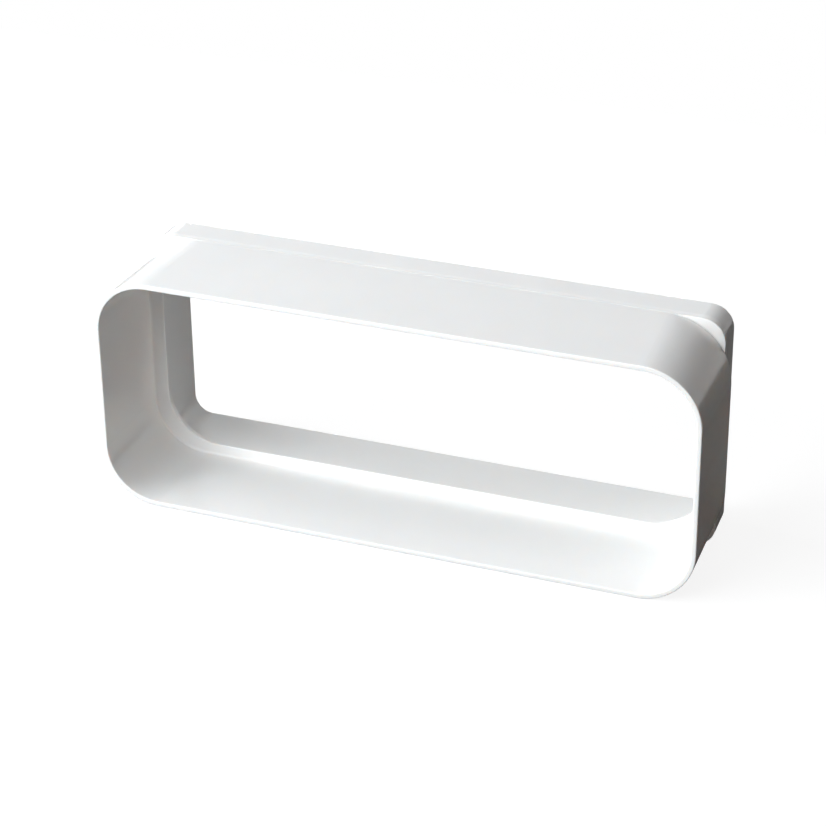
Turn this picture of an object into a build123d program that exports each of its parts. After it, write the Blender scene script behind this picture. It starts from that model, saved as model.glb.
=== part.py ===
from build123d import *
from math import radians, tan
import os

os.makedirs("parts", exist_ok=True)

# Duct sleeve at the front, outside sizes at its open rim
DUCT_WIDTH = 222.0
DUCT_HEIGHT = 89.0
DUCT_CORNER = 21.0
WALL = 1.8

# Lengths along the air path, which runs back from the front rim along +Y
SLEEVE_LENGTH = 41.0
COLLAR_LENGTH = 13.3
SPIGOT_LENGTH = 7.5

# Straight stretches of the sleeve: its rim, and the seat in front of the stop
RIM_LENGTH = 1.5
SEAT_LENGTH = 2.0

# How far each side of the sleeve closes in behind the rim, outside and inside
SIDE_DRAFT = 0.8
HEIGHT_DRAFT = 0.05
ROOT_CORNER = 23.0
HOLLOW_SIDE_DRAFT = 0.3
HOLLOW_HEIGHT_DRAFT = 0.1
HOLLOW_CORNER = 20.2

# Collar behind the sleeve, narrower than the duct, with squarer corners, and sloping in towards its back
COLLAR_INSET = 3.6
COLLAR_CORNER = 8.5
COLLAR_SLOPE = 2.0

# Faint sink round the collar, over the thick ring of plastic inside
SINK_REACH = 1.4
SINK_SLOPE = 6.0

# Stop inside the sleeve: how far it reaches in, and how far it stands ahead of the collar
STOP_SIDE = 7.7
STOP_HEIGHT = 6.3
STOP_CORNER = 19.5
STOP_AHEAD = 1.6
STOP_THICKNESS = 1.8

# Squarer air path behind the stop, out through the spigot
PATH_CORNER = 7.0

# Rounding of the moulded edges, and the sloping lead outside the spigot's end
RIM_ROUND = 0.3
EDGE_ROUND = 0.4
ROOT_ROUND = 1.0
LEAD_IN = 0.8

# Sizes that follow from the ones above
AXIS_HEIGHT = DUCT_HEIGHT / 2
ROOT_WIDTH = DUCT_WIDTH - 2 * SIDE_DRAFT
ROOT_HEIGHT = DUCT_HEIGHT - 2 * HEIGHT_DRAFT
RIM_HOLLOW_WIDTH = DUCT_WIDTH - 2 * WALL
RIM_HOLLOW_HEIGHT = DUCT_HEIGHT - 2 * WALL
SEAT_WIDTH = RIM_HOLLOW_WIDTH - 2 * HOLLOW_SIDE_DRAFT
SEAT_HEIGHT = RIM_HOLLOW_HEIGHT - 2 * HOLLOW_HEIGHT_DRAFT
COLLAR_WIDTH = DUCT_WIDTH - 2 * COLLAR_INSET
SINK_LINE = SLEEVE_LENGTH + SINK_REACH
SINK_DEPTH = SINK_REACH * tan(radians(SINK_SLOPE))
SINK_WIDTH = COLLAR_WIDTH - 2 * SINK_DEPTH
SINK_HEIGHT = DUCT_HEIGHT - 2 * SINK_DEPTH
PATH_WIDTH = DUCT_WIDTH - 2 * STOP_SIDE
PATH_HEIGHT = DUCT_HEIGHT - 2 * STOP_HEIGHT
STOP_FACE = SLEEVE_LENGTH - STOP_AHEAD
STOP_BACK = STOP_FACE + STOP_THICKNESS
COLLAR_BACK = SLEEVE_LENGTH + COLLAR_LENGTH
LENGTH = COLLAR_BACK + SPIGOT_LENGTH


def across(depth):
    """Upright plane across the air path and centred on it, this far behind the front rim."""
    return Plane((0, depth - LENGTH / 2, AXIS_HEIGHT), x_dir=(1, 0, 0), z_dir=(0, -1, 0))


with BuildPart() as duct_reducer:
    # Outside of the straight rim
    with BuildSketch(across(0)):
        RectangleRounded(DUCT_WIDTH, DUCT_HEIGHT, DUCT_CORNER)
    extrude(amount=-RIM_LENGTH)

    # Outside of the sleeve behind it
    with BuildSketch(across(RIM_LENGTH)):
        RectangleRounded(DUCT_WIDTH, DUCT_HEIGHT, DUCT_CORNER)
    with BuildSketch(across(SLEEVE_LENGTH)):
        RectangleRounded(ROOT_WIDTH, ROOT_HEIGHT, ROOT_CORNER)
    loft(ruled=True)

    # Front of the collar, which shows outside the round corners of the sleeve and sinks in behind its edge
    with BuildSketch(across(SINK_LINE)):
        RectangleRounded(SINK_WIDTH, SINK_HEIGHT, COLLAR_CORNER - SINK_DEPTH)
    extrude(amount=SINK_REACH, both=True, taper=-SINK_SLOPE)

    # Rest of the collar
    with BuildSketch(across(SINK_LINE + SINK_REACH)):
        RectangleRounded(COLLAR_WIDTH, DUCT_HEIGHT, COLLAR_CORNER)
    extrude(amount=2 * SINK_REACH - COLLAR_LENGTH, taper=COLLAR_SLOPE)

    # Spigot that enters the next duct
    with BuildSketch(across(COLLAR_BACK)):
        RectangleRounded(PATH_WIDTH + 2 * WALL, PATH_HEIGHT + 2 * WALL, PATH_CORNER + WALL)
    extrude(amount=-SPIGOT_LENGTH)

    # Hollow of the straight rim
    with BuildSketch(across(0)):
        RectangleRounded(RIM_HOLLOW_WIDTH, RIM_HOLLOW_HEIGHT, DUCT_CORNER - WALL)
    extrude(amount=-RIM_LENGTH, mode=Mode.SUBTRACT)

    # Hollow of the sleeve behind it
    with BuildSketch(across(RIM_LENGTH)):
        RectangleRounded(RIM_HOLLOW_WIDTH, RIM_HOLLOW_HEIGHT, DUCT_CORNER - WALL)
    with BuildSketch(across(STOP_FACE - SEAT_LENGTH)):
        RectangleRounded(SEAT_WIDTH, SEAT_HEIGHT, HOLLOW_CORNER)
    loft(ruled=True, mode=Mode.SUBTRACT)

    # Straight seat in front of the stop
    with BuildSketch(across(STOP_FACE)):
        RectangleRounded(SEAT_WIDTH, SEAT_HEIGHT, HOLLOW_CORNER)
    extrude(amount=SEAT_LENGTH, mode=Mode.SUBTRACT)

    # Round-cornered opening of the stop
    with BuildSketch(across(STOP_FACE)):
        RectangleRounded(PATH_WIDTH, PATH_HEIGHT, STOP_CORNER)
    extrude(amount=-STOP_THICKNESS, mode=Mode.SUBTRACT)

    # Air path behind the stop
    with BuildSketch(across(STOP_BACK)):
        RectangleRounded(PATH_WIDTH, PATH_HEIGHT, PATH_CORNER)
    extrude(amount=STOP_BACK - LENGTH, mode=Mode.SUBTRACT)

    # Flat faces across the air path, from the front rim back to the spigot's end
    flats = faces().filter_by(Axis.Y).group_by(Axis.Y)
    front_rim, stop_ring, collar_back, spigot_end = flats[0][0], flats[1][0], flats[-2][0], flats[-1][0]
    root = stop_ring.outer_wire().edges()
    lip = stop_ring.inner_wires()[0].edges()
    shoulder = collar_back.outer_wire().edges()
    spigot_mouth = spigot_end.inner_wires()[0].edges()
    spigot_tip = spigot_end.outer_wire().edges()
    fillet(root, ROOT_ROUND)
    fillet(lip + shoulder + spigot_mouth, EDGE_ROUND)
    fillet(front_rim.edges(), RIM_ROUND)
    chamfer(spigot_tip, LEAD_IN)

duct_reducer.part.label = "duct_reducer"
export_step(duct_reducer.part, "parts/duct_reducer.step")
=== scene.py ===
"""Finishes the moulded duct reducer in white plastic and lights it on a pale floor, as an add-on run as a script."""

import math

import bpy
from bpy.props import FloatProperty, FloatVectorProperty, PointerProperty
from mathutils import Matrix, Vector

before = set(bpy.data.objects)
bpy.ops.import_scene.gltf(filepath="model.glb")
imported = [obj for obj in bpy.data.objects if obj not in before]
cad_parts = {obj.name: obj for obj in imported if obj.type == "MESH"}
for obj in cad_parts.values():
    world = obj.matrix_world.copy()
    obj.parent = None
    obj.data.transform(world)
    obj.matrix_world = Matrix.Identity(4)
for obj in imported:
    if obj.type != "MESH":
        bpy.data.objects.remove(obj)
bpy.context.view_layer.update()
FITTING = "duct_reducer"

# The picture's width in pixels, and the width of the camera's sensor in millimetres
PICTURE_WIDTH = 826
SENSOR_WIDTH = 36.0

# How far the lamps hang from the fitting, and the point that they face
LAMP_DISTANCE = 1.6
LAMP_TARGET = (0.0, 0.0, 0.045)
WHITE = (1.0, 1.0, 1.0, 1.0)

# How far red, green and blue light travel inside the plastic, against each other
DEPTH_BY_COLOUR = (1.0, 0.9, 0.83)

# Cloudy patches, and patches of better and worse polish, which are drawn out across the pull of the mould
CLOUD_WIDTH = 0.03
POLISH_WIDTH = 0.009
POLISH_STRETCH = (1.0, 3.0, 1.0)
DRAW_STRETCH = (1.0, 60.0, 1.0)
NOISE_LOW = 0.3
NOISE_HIGH = 0.7

# Edges rubbed smooth and painted whiter, partly whitened wear and partly a painted highlight: how far the rounded
# normal leans on a full edge, how much whiter it is, and its share
EDGE_LEAN = 0.85
EDGE_WEAR_AND_HIGHLIGHT_WHITER = 1.06
EDGE_WEAR_AND_HIGHLIGHT_SHARE = 0.7
EDGE_POLISH = 0.5

# Painted shade in tight inner corners, darker where less of the air above is free: how free the air is where it
# starts and where it is full
CREASE_START = 0.95
CREASE_FULL = 0.66
CREASE_SAMPLES = 8
# The dark colour painted into the creases as shade
PAINTED_SHADE_COLOUR = (0.4, 0.39, 0.37)

# Dark specks: how far apart, where they are full against their radius, and their colour and share
SPECKS_APART = 0.012
SPECK_CORE = 0.6
SPECK_COLOUR = (0.35, 0.31, 0.27)
SPECK_SHARE = 0.35

bl_info = {
    "name": "Duct Reducer Studio",
    "version": (1, 1, 0),
    "blender": (4, 5, 0),
    "location": "3D View > Sidebar > Duct",
    "description": "Finishes the moulded duct reducer and lights it on a pale floor",
    "category": "Object",
}


class PlasticSettings(bpy.types.PropertyGroup):
    """How the moulded plastic looks."""

    colour: FloatVectorProperty(
        name="Colour", description="White of the moulded plastic", default=(0.9, 0.9, 0.895),
        min=0.0, max=1.0, size=3, subtype="COLOR",
    )
    mottle: FloatProperty(
        name="Mottle", description="How much darker the cloudy patches are", default=0.02,
        min=0.0, max=1.0, subtype="FACTOR",
    )
    light_depth: FloatProperty(
        name="Light depth", description="How far light travels inside the plastic", default=0.0008,
        min=0.0, max=0.01, unit="LENGTH",
    )
    gloss_low: FloatProperty(
        name="Smoothest", description="Roughness where the mould was best polished", default=0.14,
        min=0.0, max=1.0, subtype="FACTOR",
    )
    gloss_high: FloatProperty(
        name="Roughest", description="Roughness where the mould was least polished", default=0.21,
        min=0.0, max=1.0, subtype="FACTOR",
    )
    ripple_width: FloatProperty(
        name="Ripple width", description="Width of one ripple of the moulded skin", default=0.004,
        min=0.0005, max=0.02, unit="LENGTH",
    )
    ripple_height: FloatProperty(
        name="Ripple height", description="Height of the ripples of the moulded skin", default=0.000004,
        min=0.0, max=0.0001, unit="LENGTH",
    )
    draw_width: FloatProperty(
        name="Draw line width", description="Width of the faint lines along the pull of the mould", default=0.0007,
        min=0.0001, max=0.01, unit="LENGTH",
    )
    draw_height: FloatProperty(
        name="Draw line height", description="Height of the faint lines along the pull of the mould",
        default=0.0000015, min=0.0, max=0.0001, unit="LENGTH",
    )
    speck_size: FloatProperty(
        name="Speck size", description="Radius of the few dark specks in the plastic", default=0.00022,
        min=0.0, max=0.002, unit="LENGTH",
    )
    # The reach below also sets how far the painted highlight of whiter edges spreads
    edge_reach: FloatProperty(
        name="Rubbed edge", description="How far from an edge the plastic is rubbed smooth", default=0.0005,
        min=0.0, max=0.005, unit="LENGTH",
    )
    # The two settings below set the reach and strength of the shade painted into tight inner corners
    crease_reach: FloatProperty(
        name="Crease reach", description="How far from a tight inner corner dust settles", default=0.0008,
        min=0.0, max=0.005, unit="LENGTH",
    )
    crease_painted_shade: FloatProperty(
        name="Crease dust", description="How much dust lies in the tight inner corners", default=0.3,
        min=0.0, max=1.0, subtype="FACTOR",
    )


class StudioSettings(bpy.types.PropertyGroup):
    """The floor, the lamps and the light around them."""

    key_light: FloatVectorProperty(
        name="Key light", description="Light that the main lamp at the left front casts on a face turned to it",
        default=(0.663, 0.689, 0.703), min=0.0, soft_max=2.0, size=3, subtype="COLOR",
    )
    low_light: FloatVectorProperty(
        name="Low light", description="Light that the low lamp at the left front casts on a face turned to it",
        default=(0.66, 0.68, 0.682), min=0.0, soft_max=2.0, size=3, subtype="COLOR",
    )
    left_light: FloatVectorProperty(
        name="Left light", description="Light that the raised lamp at the left casts on a face turned to it",
        default=(0.529, 0.539, 0.552), min=0.0, soft_max=2.0, size=3, subtype="COLOR",
    )
    right_light: FloatVectorProperty(
        name="Right light", description="Light that the warm lamp at the right front casts on a face turned to it",
        default=(0.122, 0.106, 0.096), min=0.0, soft_max=2.0, size=3, subtype="COLOR",
    )
    high_light: FloatVectorProperty(
        name="High light", description="Light that the high lamp in front casts on a face turned to it",
        default=(0.12, 0.125, 0.128), min=0.0, soft_max=2.0, size=3, subtype="COLOR",
    )
    back_light: FloatVectorProperty(
        name="Back light", description="Light that the low lamp behind casts on a face turned to it",
        default=(0.5, 0.5, 0.5), min=0.0, soft_max=2.0, size=3, subtype="COLOR",
    )
    fill_light: FloatVectorProperty(
        name="Fill light", description="Even light from all round, none unless it is turned up",
        default=(0.0, 0.0, 0.0), min=0.0, soft_max=2.0, size=3, subtype="COLOR",
    )
    floor_shade: FloatVectorProperty(
        name="Floor shade", description="Shade of the floor as the fitting sees it", default=(0.11, 0.11, 0.11),
        min=0.0, max=1.0, size=3, subtype="COLOR",
    )
    floor_glow: FloatProperty(
        name="Floor glow", description="Strength of the white that the camera sees on the floor", default=0.88,
        min=0.0, max=1.0, subtype="FACTOR",
    )
    floor_shadow: FloatProperty(
        name="Floor shadow", description="How much the lamps and the shadow add to what the camera sees",
        default=0.2, min=0.0, max=1.0, subtype="FACTOR",
    )
    floor_shine: FloatProperty(
        name="Floor in the shine", description="Share of the white floor that shows in the shine of the plastic",
        default=0.05, min=0.0, max=1.0, subtype="FACTOR",
    )
    floor_reach: FloatProperty(
        name="Floor reach", description="From the middle of the floor to its edge", default=0.4,
        min=0.2, unit="LENGTH",
    )


class ViewSettings(bpy.types.PropertyGroup):
    """Where the camera stands."""

    azimuth: FloatProperty(
        name="Azimuth", description="Turn of the camera to the right of the air path",
        default=math.radians(21.23), subtype="ANGLE",
    )
    elevation: FloatProperty(
        name="Elevation", description="Height of the camera above level", default=math.radians(28.38),
        subtype="ANGLE",
    )
    roll: FloatProperty(
        name="Roll", description="Tilt of the camera about its own view", default=math.radians(-0.62),
        subtype="ANGLE",
    )
    distance: FloatProperty(
        name="Distance", description="From the camera to the point it looks at", default=0.8678, unit="LENGTH",
    )
    aim: FloatVectorProperty(
        name="Aim", description="Point that the camera looks at", default=(0.00986, -0.0309, 0.05703), size=3,
        subtype="TRANSLATION", unit="LENGTH",
    )
    focal_pixels: FloatProperty(
        name="Focal length", description="Focal length in pixels of the picture", default=2544.5, min=100.0,
    )


class DUCT_OT_finish_plastic(bpy.types.Operator):
    """Give the moulded fitting its satin white plastic"""

    bl_idname = "duct.finish_plastic"
    bl_label = "Finish Plastic"

    def execute(self, context):
        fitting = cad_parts[FITTING]
        fitting.data.materials.clear()
        fitting.data.materials.append(moulded_plastic(context.scene.duct_plastic))
        return {"FINISHED"}


class DUCT_OT_set_studio(bpy.types.Operator):
    """Lay the pale floor, hang the lamps and place the camera"""

    bl_idname = "duct.set_studio"
    bl_label = "Set Studio"

    def execute(self, context):
        scene = context.scene
        lay_floor(scene.duct_studio)
        hang_lamps(scene.duct_studio)
        light_world(scene, scene.duct_studio)
        place_camera(scene, scene.duct_view)
        scene.view_settings.view_transform = "Standard"
        return {"FINISHED"}


class DUCT_PT_panel(bpy.types.Panel):
    """Lists the steps and their settings"""

    bl_label = "Duct Reducer"
    bl_idname = "DUCT_PT_panel"
    bl_space_type = "VIEW_3D"
    bl_region_type = "UI"
    bl_category = "Duct"

    def draw(self, context):
        scene = context.scene
        steps = (
            (DUCT_OT_finish_plastic, (scene.duct_plastic,)),
            (DUCT_OT_set_studio, (scene.duct_studio, scene.duct_view)),
        )
        for operator, groups in steps:
            self.layout.operator(operator.bl_idname)
            for settings in groups:
                for name in settings.__annotations__:
                    self.layout.prop(settings, name)


def add_node(tree, kind, **inputs):
    """A node of one kind, with values set on its sockets by name."""
    node = tree.nodes.new(kind)
    for name, value in inputs.items():
        node.inputs[name.replace("_", " ")].default_value = value
    return node


def noise(tree, place, width, detail, stretch=(1.0, 1.0, 1.0)):
    """Noise whose lumps are this wide, drawn out along each axis by its stretch."""
    mapping = add_node(tree, "ShaderNodeMapping", Scale=[1.0 / (width * along) for along in stretch])
    texture = add_node(tree, "ShaderNodeTexNoise", Scale=1.0, Detail=detail)
    tree.links.new(place, mapping.inputs["Vector"])
    tree.links.new(mapping.outputs["Vector"], texture.inputs["Vector"])
    return texture.outputs["Fac"]


def spread(tree, value, low, high, to_low=0.0, to_high=1.0):
    """A value taken from one range to another, and held at its ends."""
    node = add_node(tree, "ShaderNodeMapRange", From_Min=low, From_Max=high, To_Min=to_low, To_Max=to_high)
    tree.links.new(value, node.inputs["Value"])
    return node.outputs["Result"]


def part_of(tree, mask, share):
    """A mask brought down to its largest share."""
    return spread(tree, mask, 0.0, 1.0, 0.0, share)


def blend(tree, share, first, second):
    """One colour or number turning into another, each of them a socket or a value."""
    node = tree.nodes.new("ShaderNodeMix")
    if not isinstance(second, float):
        node.data_type = "RGBA"
    tree.links.new(share, node.inputs["Factor"])
    for name, value in (("A", first), ("B", second)):
        if isinstance(value, bpy.types.NodeSocket):
            tree.links.new(value, node.inputs[name])
        elif isinstance(value, float):
            node.inputs[name].default_value = value
        else:
            node.inputs[name].default_value = (*value, 1.0)
    return node.outputs["Result"]


def bump(tree, height, depth, below=None):
    """Bumps of this depth in metres, on top of the normal below."""
    node = add_node(tree, "ShaderNodeBump", Distance=depth)
    tree.links.new(height, node.inputs["Height"])
    if below:
        tree.links.new(below, node.inputs["Normal"])
    return node.outputs["Normal"]


# The edge mask both smooths the plastic and paints a highlight along the edges
def rubbed_and_highlit_edges(tree, reach):
    """One on an edge and nothing away from it, from how far a rounded normal leans from the true one."""
    rounded = add_node(tree, "ShaderNodeBevel", Radius=reach)
    shape = tree.nodes.new("ShaderNodeNewGeometry")
    lean = tree.nodes.new("ShaderNodeVectorMath")
    lean.operation = "DOT_PRODUCT"
    tree.links.new(rounded.outputs["Normal"], lean.inputs[0])
    tree.links.new(shape.outputs["Normal"], lean.inputs[1])
    return spread(tree, lean.outputs["Value"], 1.0, EDGE_LEAN)


def creases(tree, reach):
    """One in a tight inner corner and nothing on open plastic, from how much of the air above it is free; it marks
    where shade is painted.
    """
    open_air = add_node(tree, "ShaderNodeAmbientOcclusion", Distance=reach)
    open_air.only_local = True
    open_air.samples = CREASE_SAMPLES
    return spread(tree, open_air.outputs["AO"], CREASE_START, CREASE_FULL)


def specks(tree, place, size):
    """One inside the few specks that lie in the plastic, and nothing between them."""
    radius = size / SPECKS_APART
    texture = add_node(tree, "ShaderNodeTexVoronoi", Scale=1.0 / SPECKS_APART)
    tree.links.new(place, texture.inputs["Vector"])
    return spread(tree, texture.outputs["Distance"], radius, SPECK_CORE * radius)


def moulded_plastic(settings):
    """White plastic with cloudy patches, a rippled skin, draw lines, specks, edges painted whiter as wear and a
    painted highlight, and painted shade in the creases.
    """
    material = bpy.data.materials.new("moulded_white_plastic")
    material.use_nodes = True
    tree = material.node_tree
    tree.nodes.clear()
    link = tree.links.new
    place = tree.nodes.new("ShaderNodeTexCoord").outputs["Object"]
    shader = add_node(
        tree, "ShaderNodeBsdfPrincipled", IOR=1.5, Subsurface_Weight=1.0, Subsurface_Scale=settings.light_depth,
        Subsurface_Radius=DEPTH_BY_COLOUR,
    )
    out = tree.nodes.new("ShaderNodeOutputMaterial")

    edges = rubbed_and_highlit_edges(tree, settings.edge_reach)
    # Mask for the shade painted into the creases
    painted_shade = creases(tree, settings.crease_reach)
    dots = specks(tree, place, settings.speck_size)
    clouds = spread(tree, noise(tree, place, CLOUD_WIDTH, 4.0), NOISE_LOW, NOISE_HIGH)
    white = Vector(settings.colour)
    colour = blend(tree, clouds, white * (1.0 - settings.mottle), white)
    # Edges painted whiter, partly whitened wear and partly a painted highlight
    colour = blend(tree, part_of(tree, edges, EDGE_WEAR_AND_HIGHLIGHT_SHARE), colour, white * EDGE_WEAR_AND_HIGHLIGHT_WHITER)
    # Painted shade darkens the tight inner corners
    colour = blend(tree, part_of(tree, painted_shade, settings.crease_painted_shade), colour, PAINTED_SHADE_COLOUR)
    colour = blend(tree, part_of(tree, dots, SPECK_SHARE), colour, SPECK_COLOUR)
    link(colour, shader.inputs["Base Color"])

    polish = noise(tree, place, POLISH_WIDTH, 3.0, POLISH_STRETCH)
    satin = spread(tree, polish, NOISE_LOW, NOISE_HIGH, settings.gloss_low, settings.gloss_high)
    rubbed = blend(tree, part_of(tree, edges, EDGE_POLISH), satin, settings.gloss_low)
    link(rubbed, shader.inputs["Roughness"])

    lines = bump(tree, noise(tree, place, settings.draw_width, 2.0, DRAW_STRETCH), settings.draw_height)
    skin = bump(tree, noise(tree, place, settings.ripple_width, 2.0), settings.ripple_height, lines)
    link(skin, shader.inputs["Normal"])
    link(shader.outputs["BSDF"], out.inputs["Surface"])
    return material


def lay_floor(settings):
    """A pale floor under the fitting."""
    half = settings.floor_reach
    mesh = bpy.data.meshes.new("studio_floor")
    corners = [(-half, -half, 0), (half, -half, 0), (half, half, 0), (-half, half, 0)]
    mesh.from_pydata(corners, [], [(0, 1, 2, 3)])
    floor = bpy.data.objects.new("studio_floor", mesh)
    bpy.context.scene.collection.objects.link(floor)
    floor.data.materials.append(floor_paper(settings))


def floor_paper(settings):
    """Paper that looks white to the camera, with a soft shadow, and keeps its own shade for the fitting."""
    material = bpy.data.materials.new("floor_paper")
    material.use_nodes = True
    tree = material.node_tree
    tree.nodes.clear()
    link = tree.links.new
    rays = tree.nodes.new("ShaderNodeLightPath")
    shaded = add_node(tree, "ShaderNodeBsdfDiffuse", Color=(*settings.floor_shade, 1.0))
    lit = add_node(tree, "ShaderNodeBsdfDiffuse", Color=[settings.floor_shadow] * 3 + [1.0])
    glow = add_node(tree, "ShaderNodeEmission", Color=WHITE, Strength=settings.floor_glow)
    seen = tree.nodes.new("ShaderNodeAddShader")
    paper = tree.nodes.new("ShaderNodeMixShader")
    out = tree.nodes.new("ShaderNodeOutputMaterial")
    shine = add_node(tree, "ShaderNodeMath", Value=settings.floor_shine)
    shine.operation = "MULTIPLY"
    link(rays.outputs["Is Glossy Ray"], shine.inputs[1])
    link(lit.outputs["BSDF"], seen.inputs[0])
    link(glow.outputs["Emission"], seen.inputs[1])
    link(any_ray(tree, rays, shine.outputs["Value"], "Is Camera Ray", "Is Transmission Ray"), paper.inputs["Fac"])
    link(shaded.outputs["BSDF"], paper.inputs[1])
    link(seen.outputs["Shader"], paper.inputs[2])
    link(paper.outputs["Shader"], out.inputs["Surface"])
    return material


def any_ray(tree, rays, first, *kinds):
    """The largest of a value and some kinds of ray."""
    for kind in kinds:
        either = tree.nodes.new("ShaderNodeMath")
        either.operation = "MAXIMUM"
        tree.links.new(first, either.inputs[0])
        tree.links.new(rays.outputs[kind], either.inputs[1])
        first = either.outputs["Value"]
    return first


def hang_lamps(settings):
    """Large soft lamps, each facing the fitting and as strong as its level says."""
    # Name, light, turn to the right of the front, height above level, width and height
    lamps = (
        ("key_lamp", settings.key_light, 330.0, 32.0, 1.2, 0.6),
        ("low_lamp", settings.low_light, 310.0, 8.0, 1.2, 0.6),
        ("left_lamp", settings.left_light, 285.0, 45.0, 1.2, 0.6),
        ("right_lamp", settings.right_light, 30.0, 20.0, 1.0, 0.8),
        ("high_lamp", settings.high_light, 0.0, 52.0, 1.2, 0.8),
        ("back_lamp", settings.back_light, 190.0, 5.0, 1.4, 0.2),
    )
    target = Vector(LAMP_TARGET)
    for name, light, turn, rise, wide, high in lamps:
        level = max(light)
        data = bpy.data.lights.new(name, "AREA")
        data.shape = "RECTANGLE"
        data.size = wide
        data.size_y = high
        data.color = [part / level for part in light]
        data.energy = level * (math.pi * LAMP_DISTANCE) ** 2
        towards = direction(math.radians(turn), math.radians(rise))
        lamp = bpy.data.objects.new(name, data)
        lamp.location = target + towards * LAMP_DISTANCE
        lamp.rotation_euler = towards.to_track_quat("Z", "Y").to_euler()
        bpy.context.scene.collection.objects.link(lamp)


def direction(turn, rise):
    """The way to something at this turn to the right of the front, and this height above level."""
    return Vector((math.sin(turn) * math.cos(rise), -math.cos(turn) * math.cos(rise), math.sin(rise)))


def light_world(scene, settings):
    """Even light from all round where it is turned up, and plain white behind the fitting and in its shine."""
    world = bpy.data.worlds.new("studio_air")
    world.use_nodes = True
    tree = world.node_tree
    tree.nodes.clear()
    link = tree.links.new
    rays = tree.nodes.new("ShaderNodeLightPath")
    soft = add_node(tree, "ShaderNodeBackground", Color=(*settings.fill_light, 1.0), Strength=1.0)
    white = add_node(tree, "ShaderNodeBackground", Color=WHITE, Strength=1.0)
    mix = tree.nodes.new("ShaderNodeMixShader")
    out = tree.nodes.new("ShaderNodeOutputWorld")
    seen = any_ray(tree, rays, rays.outputs["Is Camera Ray"], "Is Glossy Ray", "Is Transmission Ray")
    link(seen, mix.inputs["Fac"])
    link(soft.outputs["Background"], mix.inputs[1])
    link(white.outputs["Background"], mix.inputs[2])
    link(mix.outputs["Shader"], out.inputs["Surface"])
    scene.world = world


def place_camera(scene, settings):
    """The camera at the photograph's angle."""
    back = direction(settings.azimuth, settings.elevation)
    level = Vector((-back.y, back.x, 0.0)).normalized()
    upright = back.cross(level)
    right = level * math.cos(settings.roll) + upright * math.sin(settings.roll)
    up = upright * math.cos(settings.roll) - level * math.sin(settings.roll)
    data = bpy.data.cameras.new("photo_camera")
    data.sensor_width = SENSOR_WIDTH
    data.lens = settings.focal_pixels * SENSOR_WIDTH / PICTURE_WIDTH
    camera = bpy.data.objects.new("photo_camera", data)
    turned = Matrix((right, up, back)).transposed().to_4x4()
    camera.matrix_world = Matrix.Translation(Vector(settings.aim) + back * settings.distance) @ turned
    scene.collection.objects.link(camera)
    scene.camera = camera


CLASSES = (
    PlasticSettings, StudioSettings, ViewSettings, DUCT_OT_finish_plastic, DUCT_OT_set_studio, DUCT_PT_panel,
)


def register():
    for item in CLASSES:
        bpy.utils.register_class(item)
    bpy.types.Scene.duct_plastic = PointerProperty(type=PlasticSettings)
    bpy.types.Scene.duct_studio = PointerProperty(type=StudioSettings)
    bpy.types.Scene.duct_view = PointerProperty(type=ViewSettings)


def unregister():
    del bpy.types.Scene.duct_view
    del bpy.types.Scene.duct_studio
    del bpy.types.Scene.duct_plastic
    for item in reversed(CLASSES):
        bpy.utils.unregister_class(item)


def main():
    register()
    bpy.ops.duct.finish_plastic()
    bpy.ops.duct.set_studio()


if __name__ == "__main__":
    main()
